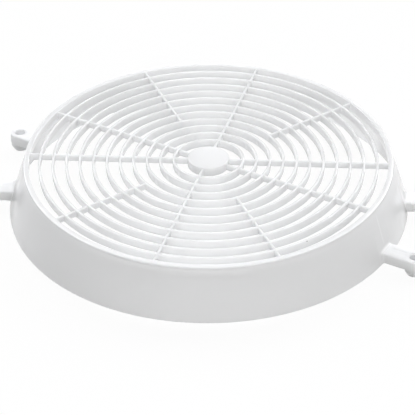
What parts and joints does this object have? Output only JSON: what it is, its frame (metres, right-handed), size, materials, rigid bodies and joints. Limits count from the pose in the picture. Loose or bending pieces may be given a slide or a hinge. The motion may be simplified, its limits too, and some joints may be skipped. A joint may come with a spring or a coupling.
{
  "type": "fan guard",
  "caption": "Round moulded guard for a ventilation fan: tapered drum closed by a flat grille of rings and spokes, with screw ears on its base edge.",
  "frame": {"origin": "on the guard's axis, in the plane of the four feet that it is screwed down by", "axes": "+Z along the guard's axis, from the feet to the grille; +X midway between two neighbouring ears"},
  "size_m": [0.4006, 0.3454, 0.0524],
  "materials": {
    "white_plastic": "glossy white moulded plastic, plain and unpainted"
  },
  "bodies": {
    "root": {"fan_guard": "white_plastic"}
  },
  "joints": []
}
